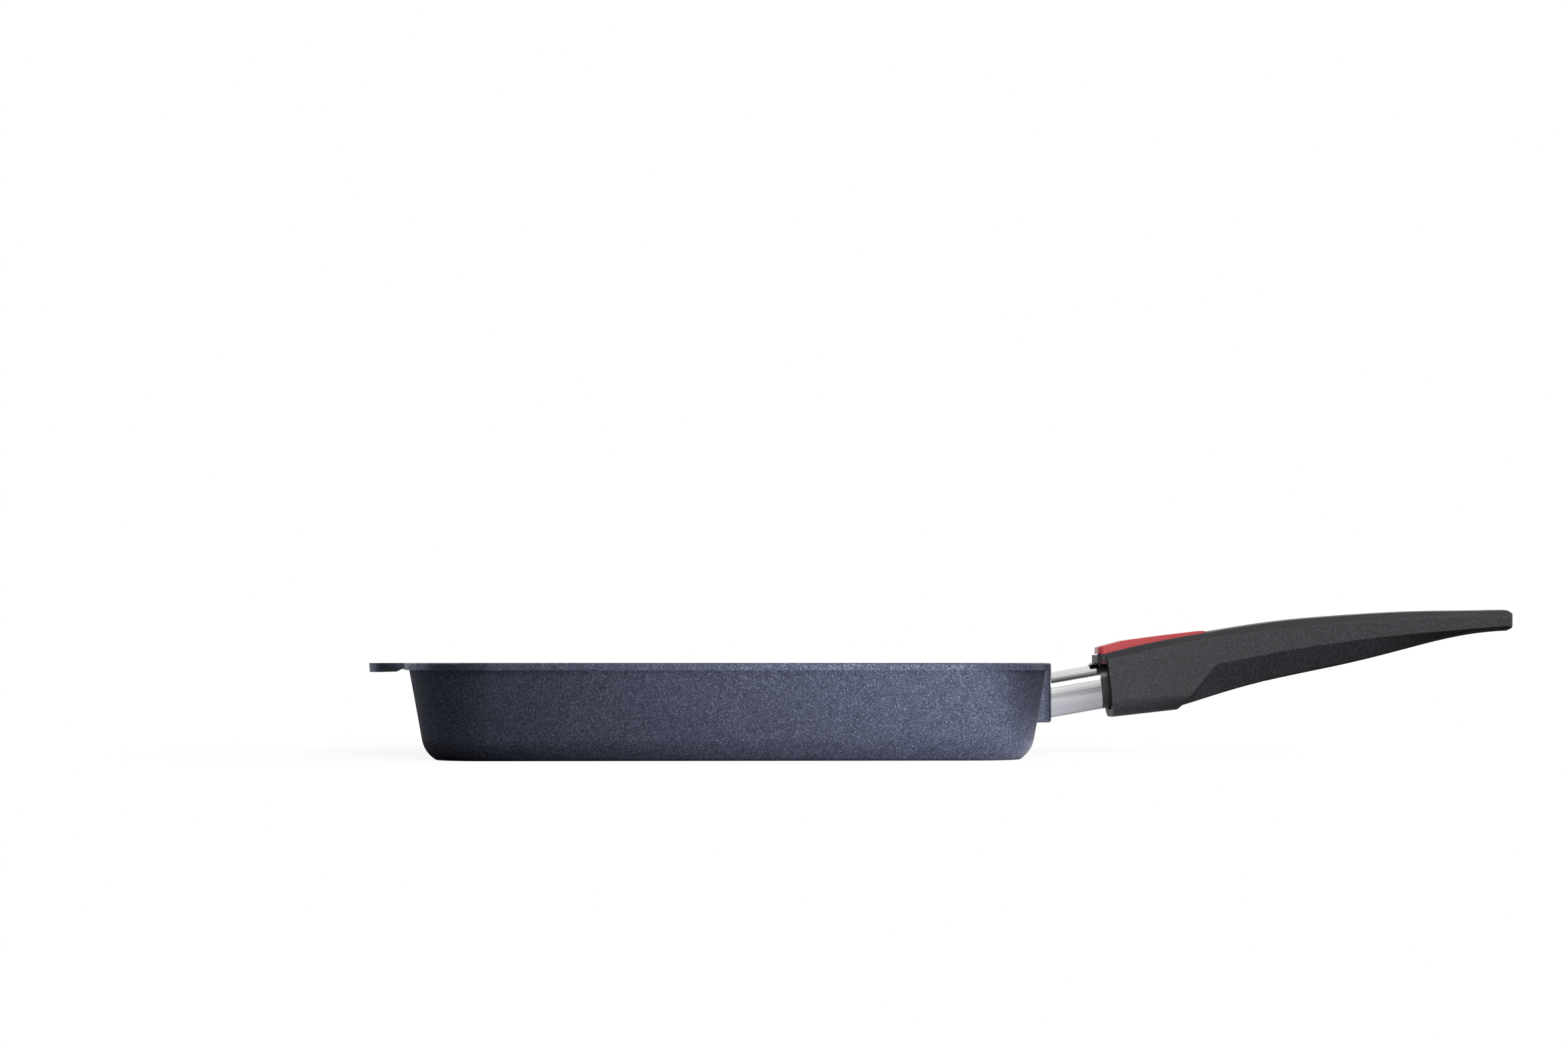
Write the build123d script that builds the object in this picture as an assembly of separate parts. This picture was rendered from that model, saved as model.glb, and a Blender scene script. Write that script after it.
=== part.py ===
from build123d import *
import math
import os

# Square cast grill pan with a detachable handle. Millimetres, +Z up, origin at the centre of the
# flat base, +X towards the handle. The pan is symmetric about the XZ plane.
# The handle's pieces are drawn from the point where the handle's axis meets the face of the lug,
# with x along the table and z up, and are moved to that point when they are written.

# Pan casting
RIM_WIDTH = 288.0
RIM_CORNER_RADIUS = 38.0
PAN_HEIGHT = 43.0
RIM_OVERHANG = 1.4
RIM_BAND = 3.2
RIM_EDGE_CHAMFER = 0.5
FLARE_HEIGHT = 4.2
FLARE_STEP = 0.3
WALL_DRAFT = 10.3
WALL_THICKNESS = 3.6
FLOOR_THICKNESS = 6.0
BASE_RADIUS = 13.0
BASE_SKIM = 1.8
FLOOR_RADIUS = 8.0

# Grill ribs
RIB_COUNT = 13
RIB_PITCH = 17.5
RIB_WIDTH = 6.0
RIB_TOP_WIDTH = 3.6
RIB_HEIGHT = 4.5
RIB_ROOT = 1.0
RIB_CHAMFER = 0.7
RIB_END_MARGIN = 17.0

# Helper tab opposite the handle
TAB_REACH = 22.0
TAB_WIDTH = 100.0
TAB_CORNER_RADIUS = 14.0
TAB_LIP = 4.2
TAB_WEB = 2.8
TAB_LIP_LENGTH = 6.0
TAB_RAMP = 2.6
TAB_DRAFT = 8.0
TAB_ROOT_RADIUS = 4.0

# Cast lug and tongue that carry the handle
LUG_REACH = 12.8
LUG_DROP = 12.7
LUG_WIDTH = 34.0
LUG_EDGE_RADIUS = 4.0
LUG_FOOT_CHAMFER = 0.8
HANDLE_TILT = 10.0
AXIS_HEIGHT = 27.3
TONGUE_LENGTH = 44.0
TONGUE_LEAD = 2.5
NOTCH_START = 31.4
NOTCH_LENGTH = 3.4
NOTCH_DEPTH = 1.8

# Tubes round the tongue, all rounded rectangles on the handle's axis
SLEEVE_WIDTH = 17.0
SLEEVE_HEIGHT = 21.5
SLEEVE_CORNER = 8.0
SLEEVE_WALL = 0.8
SLEEVE_END = 25.3
SLEEVE_GAP = 0.35
LINER_WALL = 1.5
LINER_LENGTH = 52.0
LINER_SETBACK = 0.3
TUBE_FIT = 0.05
TONGUE_CLEARANCE = 0.3
COLLAR_OVERLAP = 9.0
COLLAR_LIP_REACH = 3.2
COLLAR_LIP_WIDTH = 9.0
COLLAR_LIP_RISE = 1.1
COLLAR_LIP_FOOT = 0.45
COLLAR_LIP_ROOT = 2.0
COLLAR_LIP_PEAK = 1.0
END_TILT = 6.5

# Die-cast core inside the grip
CORE_START = 31.0
CORE_LENGTH = 36.0
CORE_SIDE_WALL = 2.3
CORE_TOP_WALL = 1.55
CORE_CORNER = 6.0
CORE_FIT = 0.15
SPINE_LENGTH = 51.0
SPINE_WIDTH = 9.0
SPINE_HEIGHT = 8.0
SPINE_CORNER = 1.5
SPINE_ROOT = 2.0

# Spring-steel catch and its rivets
CATCH_START = 27.9
CATCH_END = 65.4
CATCH_WIDTH = 6.0
CATCH_HEAD_WIDTH = 9.2
CATCH_HEAD_LENGTH = 2.4
CATCH_THICKNESS = 0.8
CATCH_ENGAGEMENT = 1.3
HOOK_LENGTH = 1.6
HOOK_FIT = 0.9
RIVET_DIAMETER = 2.4
RIVET_HEAD = 4.4
RIVET_HEAD_HEIGHT = 0.8
RIVET_DEPTH = 1.2
RIVET_PITCH = 4.6
RIVET_EDGE = 0.4

# Grip: side-view places of its ends, its front block and its tail
GRIP_END_X = 224.9
FRONT_TOP = (27.4, 16.7)
BLOCK_FOOT = (61.6, -6.7)
BLOCK_SLOPE = 6.4
BLOCK_BOTTOM_RADIUS = 7.0
SCALLOP_ANGLE = 50.0
SCALLOP_RUN = 80.0
TAIL_CHAMFER = 3.2
TAIL_CHAMFER_DROP = 2.4
TAIL_FOOT_CHAMFER = 1.5
TAIL_FOOT_RISE = 2.6
TAIL_CORNER_RADIUS = 5.0
TAIL_ROUND_OFF = 1.0
TAIL_FLAT = 4.0
TAIL_KEEP_WIDTH = 22.0
CROWN_RISE = 0.5
BAND_WIDTH = 3.0
MOUTH_LENGTH = 4.0
MOUTH_GAP = 1.1
MOUTH_SIDE_GAP = 2.1

# Grip outlines as seen from the side (x, z) and half widths as seen from above (x, y)
GRIP_TOP = [
    (19.2, 18.9), (41.2, 24.2), (57.2, 27.5), (80.8, 31.6), (95.2, 34.1), (132.9, 38.3),
    (172.1, 40.7), (204.9, 41.4), (231.2, 41.4),
]
GRIP_EDGE = [
    (19.2, 15.1), (41.2, 20.5), (57.2, 24.0), (81.4, 28.2), (106.8, 31.4), (143.2, 35.4),
    (180.6, 37.7), (231.2, 38.1),
]
GRIP_HALF_WIDTH = [
    (19.2, 13.6), (63.2, 14.0), (105.2, 12.7), (143.2, 11.7), (188.2, 12.2), (231.2, 13.4),
]
TAIL_CREASE = [
    (49.2, 9.7), (84.3, 15.1), (119.0, 21.5), (157.6, 26.9), (188.5, 30.0), (231.2, 33.1),
]
TAIL_BOTTOM = [
    (49.2, -8.5), (74.3, -1.7), (106.8, 7.5), (139.4, 14.2), (172.1, 22.2), (198.4, 28.5),
    (231.2, 31.6),
]
TAIL_HALF_BOTTOM = [(49.2, 9.8), (93.2, 8.8), (153.2, 7.6), (231.2, 10.4)]
TOP_SECTION_COUNT = 10
TAIL_SECTION_COUNT = 8

# Hood of the grip over the catch
NOSE_X = 22.8
NOSE_TOP = 19.6
NOSE_BOTTOM = 15.8
NOSE_WIDTH = 22.0
NOSE_CORNER = 3.0
NOSE_WALL = 1.6
NOSE_ROOT = 8.0

# Hanging slot
SLOT_CENTRE_X = 204.2
SLOT_LENGTH = 18.0
SLOT_WIDTH = 8.0

# Release button, its pivot and the channel that it sits in
BUTTON_ROOF_LINE = [(23.6, 23.2), (25.8, 23.9), (35.5, 26.5), (54.8, 29.1), (72.7, 31.2), (75.2, 31.2)]
BUTTON_REAR = (75.6, 30.8)
BUTTON_FRONT_HEIGHT = 3.1
BUTTON_REAR_HEIGHT = 2.6
BUTTON_BELLY = [(50.2, 22.0), (28.0, 18.5)]
BUTTON_WIDTH = 16.0
BUTTON_CORNER = 3.0
BUTTON_EDGE = 0.6
BUTTON_CLEARANCE = 0.3
BUTTON_WALL = 1.4
BUTTON_ROOF = 1.5
CHANNEL_REAR_GAP = 1.0
CHANNEL_FRONT_Z = 16.7
CHANNEL_REAR_Z = 25.2
MECHANISM_WIDTH = 13.4
MECHANISM_END_X = 63.2
PIVOT_X = 50.2
PIVOT_Z = 24.1
PIVOT_DIAMETER = 2.5
PIVOT_FIT = 0.05
PIVOT_EAR_INNER = 4.4
PIVOT_EAR_OUTER = 6.3
PIVOT_EAR_RADIUS = 2.3
PIVOT_EAR_ROOT = 2.0
BOSS_RADIUS = 2.4
BOSS_GAP = 0.3
BOSS_WEB = 4.0
LEG_INNER = 5.0
LEG_OUTER = 6.4
LEG_FRONT_X = 25.2
LEG_REAR_X = 27.8
LEDGE_INNER = 3.9
LEDGE_THICKNESS = 0.6
LEDGE_GAP = 0.3
DIMPLE_X = 40.7
DIMPLE_LENGTH = 3.6
DIMPLE_WIDTH = 5.0
DIMPLE_DEPTH = 0.7

# Screw that holds the core in the grip
SCREW_STATION = 104.0
SCREW_DIAMETER = 4.0
SCREW_HEAD = 7.4
SCREW_HEAD_HEIGHT = 2.6
SCREW_HEAD_CHAMFER = 0.8
SCREW_FLOOR = 3.0
SCREW_BITE = 6.5
SCREW_FIT = 0.05
SCREW_HOLE_GAP = 0.3
COUNTERBORE = 8.6
WASHER_THICKNESS = 1.0
WASHER_DIAMETER = 7.6
WASHER_GAP = 0.2
DRIVE_LENGTH = 2.5
DRIVE_WIDTH = 0.6
DRIVE_DEPTH = 1.4

# How far a cut runs past what it cuts, and how deep joined forms run into each other
CUT_REACH = 120.0
OVERRUN = 1.0
ROOT = 0.2

tilt = math.radians(HANDLE_TILT)
wall_lean = math.tan(math.radians(WALL_DRAFT))
axis_plane = Plane(origin=(0, 0, 0), x_dir=(0, 1, 0), z_dir=(math.cos(tilt), 0, math.sin(tilt)))

liner_width = SLEEVE_WIDTH - 2 * (SLEEVE_WALL + TUBE_FIT)
liner_height = SLEEVE_HEIGHT - 2 * (SLEEVE_WALL + TUBE_FIT)
liner_corner = SLEEVE_CORNER - SLEEVE_WALL - TUBE_FIT
bore_width = liner_width - 2 * LINER_WALL
bore_height = liner_height - 2 * LINER_WALL
bore_corner = liner_corner - LINER_WALL
tongue_width = bore_width - 2 * TONGUE_CLEARANCE
tongue_height = bore_height - 2 * TONGUE_CLEARANCE
tongue_corner = bore_corner - TONGUE_CLEARANCE
core_width = liner_width + 2 * (TUBE_FIT + CORE_SIDE_WALL)
core_height = liner_height + 2 * (TUBE_FIT + CORE_TOP_WALL)
core_end = CORE_START + CORE_LENGTH
spine_end = core_end + SPINE_LENGTH
catch_base = core_height / 2
button_front = BUTTON_ROOF_LINE[0][0]
button_rear = BUTTON_REAR[0]


def to_lug(piece):
    """Moves a piece of the handle, or the tongue, from its own origin to the face of the lug."""
    return Pos(RIM_WIDTH / 2 + LUG_REACH, 0, AXIS_HEIGHT) * piece


def bar(width, height, corner, start, end):
    """Rounded bar on the handle's axis between two distances from the lug face."""
    outline = axis_plane.offset(start) * RectangleRounded(width, height, corner)
    return extrude(outline, amount=end - start)


def liner_passage(start, end):
    """Hole that the liner fits, between two distances from the lug face."""
    return bar(
        liner_width + 2 * TUBE_FIT, liner_height + 2 * TUBE_FIT, liner_corner + TUBE_FIT, start, end
    )


def axis_box(start, end, half_width, low, high):
    """Box centred across the handle, along and above its axis."""
    block = Box(2 * half_width, high - low, end - start)
    return axis_plane * Pos(0, (low + high) / 2, (start + end) / 2) * block


def axis_peg(radius, station, low, high):
    """Round peg square to the handle's axis."""
    peg = Pos(0, (low + high) / 2, station) * Rot(90, 0, 0) * Cylinder(radius, high - low)
    return axis_plane * peg


def cross_pin(radius, half_length):
    """Round bar across the handle, on the button's pivot."""
    return Pos(PIVOT_X, 0, PIVOT_Z) * Rot(90, 0, 0) * Cylinder(radius, 2 * half_length)


def both_sides(half):
    return half + half.mirror(Plane.XZ)


def side_prism(points, half_width):
    """Prism across the object from an outline seen from the side."""
    return across(make_face(Polyline(*points, close=True)), half_width)


def across(outline, half_width):
    return extrude(Plane.XZ.offset(-half_width) * outline, amount=2 * half_width)


def axis_point(station, height):
    """Side-view place of a point given along and above the handle's axis."""
    x = station * math.cos(tilt) - height * math.sin(tilt)
    z = station * math.sin(tilt) + height * math.cos(tilt)
    return x, z


def rounded_square(width, corner, height):
    return Plane.XY.offset(height) * RectangleRounded(width, width, corner)


def tapered_shell(top_width, top_corner, top, bottom):
    """Drafted rounded square between two heights, drawn in towards the bottom."""
    straight = extrude(rounded_square(top_width, top_corner, bottom), amount=top - bottom)
    sides = [face for face in straight.faces() if abs(face.normal_at().Z) < 0.5]
    return draft(sides, Plane.XY.offset(top), -WALL_DRAFT)


def lowest_loop(solid):
    return solid.edges().group_by(Axis.Z)[0]


def rim_flare():
    """Concave sweep of the outer wall out to the rim band, tangent to the drafted wall."""
    high = PAN_HEIGHT - RIM_BAND
    low = high - FLARE_HEIGHT
    edge = RIM_WIDTH / 2 - FLARE_STEP
    foot = RIM_WIDTH / 2 - RIM_OVERHANG - (PAN_HEIGHT - low) * wall_lean
    sweep_up = TangentArc((foot, low), (edge, high), tangent=(wall_lean, 1))
    back = Polyline(
        (edge, high), (edge - WALL_THICKNESS, high), (foot - WALL_THICKNESS / 2, low), (foot, low)
    )
    path = rounded_square(RIM_WIDTH, RIM_CORNER_RADIUS, high)
    return sweep(Plane.XZ * make_face(back + sweep_up), path=path.wire(), transition=Transition.ROUND)


def pan_tab():
    """Flat cast tab with a thicker lip, drafted at its end and rounded into the wall."""
    root = -RIM_WIDTH / 2 + RIM_OVERHANG
    tip = -RIM_WIDTH / 2 - TAB_REACH
    tip_draft = TAB_LIP * math.tan(math.radians(TAB_DRAFT))
    under = PAN_HEIGHT - TAB_WEB
    wall = root + (TAB_WEB + TAB_ROOT_RADIUS) * wall_lean
    inner = wall + WALL_THICKNESS / 2
    centre = (wall - TAB_ROOT_RADIUS, under - TAB_ROOT_RADIUS)
    half_way = TAB_ROOT_RADIUS * math.sqrt(0.5)
    round_in = ThreePointArc(
        (centre[0], under), (centre[0] + half_way, centre[1] + half_way), (wall, centre[1])
    )
    rest = Polyline(
        (wall, centre[1]), (inner, centre[1]), (inner, PAN_HEIGHT), (tip, PAN_HEIGHT),
        (tip + tip_draft, PAN_HEIGHT - TAB_LIP), (tip + TAB_LIP_LENGTH, PAN_HEIGHT - TAB_LIP),
        (tip + TAB_LIP_LENGTH + TAB_RAMP, under), (centre[0], under),
    )
    web = across(make_face(rest + round_in), TAB_WIDTH / 2)
    length = 2 * (TAB_REACH + TAB_CORNER_RADIUS)
    plan = Pos(tip + length / 2, 0) * RectangleRounded(length, TAB_WIDTH, TAB_CORNER_RADIUS)
    return web & extrude(plan, amount=PAN_HEIGHT)


def pan_lug():
    """Cast lug under the rim with the flat face that the sleeve stops against."""
    back = RIM_WIDTH / 2 - 3 * WALL_THICKNESS
    depth = RIM_WIDTH / 2 + LUG_REACH - back
    low = AXIS_HEIGHT - LUG_DROP
    height = PAN_HEIGHT - RIM_BAND - low
    lug = Pos(back + depth / 2, 0, low + height / 2) * Box(depth, LUG_WIDTH, height)
    lug = fillet(lug.edges().filter_by(Axis.Z).group_by(Axis.X)[-1], LUG_EDGE_RADIUS)
    foot = [edge for edge in lowest_loop(lug) if edge.center().X > back + OVERRUN]
    return chamfer(foot, LUG_FOOT_CHAMFER)


def pan_tongue():
    """Tongue that the handle slides onto, with a notch for the catch and a ramped end."""
    tongue = bar(tongue_width, tongue_height, tongue_corner, -LUG_EDGE_RADIUS, TONGUE_LENGTH)
    tongue = chamfer(tongue.faces().sort_by(Axis.X)[-1].edges(), TONGUE_LEAD)
    top = tongue_height / 2
    return tongue - axis_box(
        NOTCH_START, NOTCH_START + NOTCH_LENGTH, tongue_width, top - NOTCH_DEPTH, top + OVERRUN
    )


def grill_rib():
    """One rib: drafted sides, chamfered crest and ends that slope down to the floor."""
    wall_foot = RIM_OVERHANG + WALL_THICKNESS + (PAN_HEIGHT - FLOOR_THICKNESS) * wall_lean
    length = RIM_WIDTH - 2 * (wall_foot + RIB_END_MARGIN)
    low, high = FLOOR_THICKNESS - RIB_ROOT, FLOOR_THICKNESS + RIB_HEIGHT
    foot, crest = RIB_WIDTH / 2, RIB_TOP_WIDTH / 2
    ramp = high - low
    side = side_prism(
        [(-length / 2, low), (length / 2, low), (length / 2 - ramp, high), (ramp - length / 2, high)],
        foot,
    )
    section = [(foot, low), (crest, high - RIB_CHAMFER), (crest - RIB_CHAMFER, high)]
    section += [(-y, z) for y, z in reversed(section)]
    outline = Plane.YZ.offset(-length / 2) * make_face(Polyline(*section, close=True))
    return side & extrude(outline, amount=length)


def pan_body():
    wall_width = RIM_WIDTH - 2 * RIM_OVERHANG
    wall_corner = RIM_CORNER_RADIUS - RIM_OVERHANG
    outside = tapered_shell(wall_width, wall_corner, PAN_HEIGHT, -BASE_SKIM)
    outside = fillet(lowest_loop(outside), BASE_RADIUS)
    outside -= Pos(0, 0, -BASE_RADIUS) * Box(RIM_WIDTH, RIM_WIDTH, 2 * BASE_RADIUS)
    band = extrude(
        rounded_square(RIM_WIDTH, RIM_CORNER_RADIUS, PAN_HEIGHT - RIM_BAND), amount=RIM_BAND
    )
    band = chamfer(band.faces().sort_by(Axis.Z)[-1].edges(), RIM_EDGE_CHAMFER)
    inner_width = wall_width - 2 * WALL_THICKNESS
    inner_corner = wall_corner - WALL_THICKNESS
    inside = tapered_shell(inner_width, inner_corner, PAN_HEIGHT, FLOOR_THICKNESS)
    inside = fillet(lowest_loop(inside), FLOOR_RADIUS)
    inner_edge = rounded_square(
        inner_width + 2 * RIM_EDGE_CHAMFER, inner_corner + RIM_EDGE_CHAMFER, PAN_HEIGHT
    )
    inside += extrude(inner_edge, amount=RIM_EDGE_CHAMFER, dir=(0, 0, -1), taper=45)
    pan = outside + band + rim_flare() + pan_lug() + pan_tab() - inside
    rib = grill_rib()
    for index in range(RIB_COUNT):
        pan += Pos(0, (index - (RIB_COUNT - 1) / 2) * RIB_PITCH, 0) * rib
    return pan + to_lug(pan_tongue())


def lug_side():
    """Everything on the pan's side of the face that the tubes stop against."""
    return Pos(-CUT_REACH / 2, 0, 0) * Box(CUT_REACH, CUT_REACH, CUT_REACH)


def tilted_cut(x, z):
    """Everything in front of a plane that leans back by END_TILT, through a side-view point."""
    lean = math.tan(math.radians(END_TILT)) * CUT_REACH
    return side_prism(
        [
            (x - lean, z + CUT_REACH),
            (x + lean, z - CUT_REACH),
            (x - 2 * CUT_REACH, z - CUT_REACH),
            (x - 2 * CUT_REACH, z + CUT_REACH),
        ],
        CUT_REACH / 2,
    )


def flame_guard_sleeve():
    """Bright steel tube, cut upright where it meets the lug and leaning where it meets the collar."""
    tube = bar(SLEEVE_WIDTH, SLEEVE_HEIGHT, SLEEVE_CORNER, -SLEEVE_HEIGHT, SLEEVE_END + SLEEVE_HEIGHT)
    tube -= bar(
        SLEEVE_WIDTH - 2 * SLEEVE_WALL, SLEEVE_HEIGHT - 2 * SLEEVE_WALL,
        SLEEVE_CORNER - SLEEVE_WALL, -CUT_REACH, CUT_REACH,
    )
    tube -= Pos(SLEEVE_GAP, 0, 0) * lug_side()
    return tube & tilted_cut(*axis_point(SLEEVE_END, 0))


def sleeve_liner():
    """Inner tube that runs on the tongue, from the lug into the core, with a window for the hook."""
    tube = bar(liner_width, liner_height, liner_corner, -SLEEVE_HEIGHT, LINER_LENGTH)
    tube -= bar(bore_width, bore_height, bore_corner, -CUT_REACH, CUT_REACH)
    return tube - Pos(LINER_SETBACK, 0, 0) * lug_side() - hook_window()


def hook_window():
    return axis_box(
        NOTCH_START - HOOK_FIT, NOTCH_START + NOTCH_LENGTH + HOOK_FIT,
        CATCH_WIDTH / 2 + HOOK_FIT, bore_height / 4, core_height,
    )


def sleeve_collar():
    """Dark ring between sleeve and core, with a wedge lip lying forward over the sleeve."""
    top = SLEEVE_HEIGHT / 2
    root = SLEEVE_END + COLLAR_LIP_ROOT
    ring = bar(SLEEVE_WIDTH, SLEEVE_HEIGHT, SLEEVE_CORNER, SLEEVE_END - COLLAR_OVERLAP, CORE_START)
    ring -= tilted_cut(*axis_point(SLEEVE_END + TUBE_FIT, 0))
    ring += side_prism(
        [
            axis_point(SLEEVE_END - COLLAR_LIP_REACH, top + TUBE_FIT),
            axis_point(root, top + TUBE_FIT),
            axis_point(root, top + COLLAR_LIP_FOOT),
            axis_point(SLEEVE_END - COLLAR_LIP_PEAK, top + COLLAR_LIP_RISE),
        ],
        COLLAR_LIP_WIDTH / 2,
    )
    ring += axis_box(
        SLEEVE_END + COLLAR_LIP_PEAK, root, COLLAR_LIP_WIDTH / 2,
        top - COLLAR_LIP_ROOT, top + COLLAR_LIP_FOOT,
    )
    return ring - liner_passage(-CUT_REACH, CUT_REACH)


def core_outside(grow=0.0, start=CORE_START):
    """Outer form of the core's socket and spine, grown by a fit where the grip takes it."""
    socket = bar(
        core_width + 2 * grow, core_height + 2 * grow, CORE_CORNER + grow, start, core_end + grow
    )
    spine = bar(
        SPINE_WIDTH + 2 * grow, SPINE_HEIGHT + 2 * grow, SPINE_CORNER + grow,
        core_end - SPINE_ROOT, spine_end + grow,
    )
    return socket + spine


def pivot_ear():
    """Upright ear of the core that carries one end of the pivot pin."""
    width = PIVOT_EAR_OUTER - PIVOT_EAR_INNER
    middle = (PIVOT_EAR_OUTER + PIVOT_EAR_INNER) / 2
    foot = axis_point(0, catch_base - PIVOT_EAR_ROOT)[1] + PIVOT_X * math.tan(tilt)
    post = Pos(PIVOT_X, middle, (PIVOT_Z + foot) / 2) * Box(
        2 * PIVOT_EAR_RADIUS, width, PIVOT_Z - foot
    )
    head = Pos(PIVOT_X, middle, PIVOT_Z) * Rot(90, 0, 0) * Cylinder(PIVOT_EAR_RADIUS, width)
    return post + head


def rivet_stations():
    last = CATCH_END - RIVET_HEAD / 2 - RIVET_EDGE
    return [last - RIVET_PITCH, last]


def handle_core():
    """Die-cast core: socket for the liner, ears for the pivot, spine for the screw."""
    core = core_outside() + both_sides(pivot_ear())
    core -= liner_passage(0, LINER_LENGTH + TUBE_FIT)
    core -= hook_window()
    core -= cross_pin(PIVOT_DIAMETER / 2, CUT_REACH / 2)
    for station in rivet_stations():
        core -= axis_peg(
            RIVET_DIAMETER / 2, station, catch_base - RIVET_DEPTH - TUBE_FIT, catch_base + OVERRUN
        )
    low = -SPINE_HEIGHT / 2
    return core - axis_peg(
        SCREW_DIAMETER / 2 + SCREW_FIT, SCREW_STATION, low - OVERRUN, low + SCREW_BITE + SCREW_HOLE_GAP
    )


def catch_spring():
    """Leaf of spring steel on the core, with a T head that the button lifts and a hook."""
    low, high = catch_base, catch_base + CATCH_THICKNESS
    half = CATCH_WIDTH / 2
    leaf = axis_box(CATCH_START, CATCH_END, half, low, high)
    leaf += axis_box(CATCH_START, CATCH_START + CATCH_HEAD_LENGTH, CATCH_HEAD_WIDTH / 2, low, high)
    hook_start = NOTCH_START + (NOTCH_LENGTH - HOOK_LENGTH) / 2
    hook_low = tongue_height / 2 - CATCH_ENGAGEMENT
    leaf += axis_box(hook_start, hook_start + HOOK_LENGTH, half, hook_low, low + ROOT)
    for station in rivet_stations():
        leaf -= axis_peg(RIVET_DIAMETER / 2, station, low - OVERRUN, high + OVERRUN)
    return leaf


def catch_rivets():
    """Two flat-headed rivets that hold the leaf on the core."""
    rivets = []
    top = catch_base + CATCH_THICKNESS
    for station in rivet_stations():
        shank = axis_peg(RIVET_DIAMETER / 2, station, catch_base - RIVET_DEPTH, top + ROOT)
        rivets.append(shank + axis_peg(RIVET_HEAD / 2, station, top, top + RIVET_HEAD_HEIGHT))
    return Compound(rivets)


def button_pivot_pin():
    return cross_pin(PIVOT_DIAMETER / 2, PIVOT_EAR_OUTER)


def button_block():
    """Cap of the button before it is hollowed: blunt front, ramp up, long slope to the rear."""
    front_foot = BUTTON_ROOF_LINE[0][1] - BUTTON_FRONT_HEIGHT
    step = BUTTON_BELLY[-1][0]
    block = side_prism(
        BUTTON_ROOF_LINE
        + [BUTTON_REAR, (button_rear, BUTTON_REAR[1] - BUTTON_REAR_HEIGHT)]
        + BUTTON_BELLY
        + [(step, front_foot), (button_front, front_foot)],
        BUTTON_WIDTH / 2,
    )
    plan = Pos((button_rear + button_front) / 2, 0) * RectangleRounded(
        button_rear - button_front, BUTTON_WIDTH, BUTTON_CORNER
    )
    return block & extrude(plan, amount=CUT_REACH)


def button_hollow():
    """Space under the button's roof, inside its walls."""
    front = button_front + BUTTON_WALL
    rear = button_rear - BUTTON_WALL
    roof = [(x, z - BUTTON_ROOF) for x, z in BUTTON_ROOF_LINE[2:4]]
    return side_prism(
        [(front, 0), (front, BUTTON_ROOF_LINE[0][1] - BUTTON_ROOF)]
        + roof
        + [(rear, BUTTON_ROOF_LINE[-1][1] - BUTTON_ROOF), (rear, 0)],
        BUTTON_WIDTH / 2 - BUTTON_WALL,
    )


def button_leg():
    """Leg with an inward ledge just under the head of the catch."""
    middle = (LEG_FRONT_X + LEG_REAR_X) / 2
    depth = LEG_REAR_X - LEG_FRONT_X
    foot = axis_point(CATCH_START, catch_base)[1] - LEDGE_GAP - LEDGE_THICKNESS
    top = BUTTON_ROOF_LINE[0][1] - BUTTON_ROOF / 2
    leg = Pos(middle, (LEG_INNER + LEG_OUTER) / 2, (foot + top) / 2) * Box(
        depth, LEG_OUTER - LEG_INNER, top - foot
    )
    ledge_end = LEG_INNER + ROOT
    ledge = Pos(middle, (LEDGE_INNER + ledge_end) / 2, foot + LEDGE_THICKNESS / 2) * Box(
        depth, ledge_end - LEDGE_INNER, LEDGE_THICKNESS
    )
    return leg + ledge


def release_button():
    """Red rocker: shelled cap on a pivot boss, with two legs that reach under the catch."""
    boss_half = PIVOT_EAR_INNER - BOSS_GAP
    cap = button_block() - button_hollow() + cross_pin(BOSS_RADIUS, boss_half)
    cap += Pos(PIVOT_X, 0, PIVOT_Z + BOSS_WEB / 2) * Box(2 * BOSS_RADIUS, 2 * boss_half, BOSS_WEB)
    cap += both_sides(button_leg())
    cap -= cross_pin(PIVOT_DIAMETER / 2 + PIVOT_FIT, CUT_REACH / 2)
    (near, low), (far, high) = BUTTON_ROOF_LINE[2:4]
    slope = (high - low) / (far - near)
    dimple = Rot(0, -math.degrees(math.atan(slope)), 0) * Box(
        DIMPLE_LENGTH, DIMPLE_WIDTH, 2 * DIMPLE_DEPTH
    )
    return cap - Pos(DIMPLE_X, 0, low + slope * (DIMPLE_X - near)) * dimple


def top_section(x, top, edge, half):
    """Upright section of the grip: straight sides, a flat band, then a low crown."""
    shoulder = half - BAND_WIDTH
    rise = top - CROWN_RISE
    foot = -CUT_REACH
    outline = (
        Polyline(
            (shoulder, rise), (half, edge), (half, foot), (-half, foot), (-half, edge), (-shoulder, rise)
        )
        + ThreePointArc((-shoulder, rise), (0, top), (shoulder, rise))
    )
    return Plane(origin=(x, 0, 0), x_dir=(0, 1, 0), z_dir=(1, 0, 0)) * make_face(outline)


def tail_section(x, crease, bottom, half_bottom, half):
    """Section that keeps everything above the finger facets and the eased bottom."""
    slope = (crease - bottom) / (half - half_bottom)
    low = bottom + TAIL_ROUND_OFF
    wide = low + slope * (TAIL_KEEP_WIDTH - half_bottom)
    reach, high = TAIL_KEEP_WIDTH, CUT_REACH
    right = [(TAIL_FLAT, bottom), (half_bottom, low), (reach, wide), (reach, high)]
    left = [(-y, z) for y, z in reversed(right)]
    outline = Polyline(*right, *left, close=True)
    return Plane(origin=(x, 0, 0), x_dir=(0, 1, 0), z_dir=(1, 0, 0)) * make_face(outline)


def follow(outline, x):
    """Height or width of a smooth outline at a place along the grip."""
    curve = Spline(*outline)
    low, high = 0.0, 1.0
    for _ in range(40):
        middle = (low + high) / 2
        if (curve @ middle).X < x:
            low = middle
        else:
            high = middle
    return (curve @ low).Y


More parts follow.
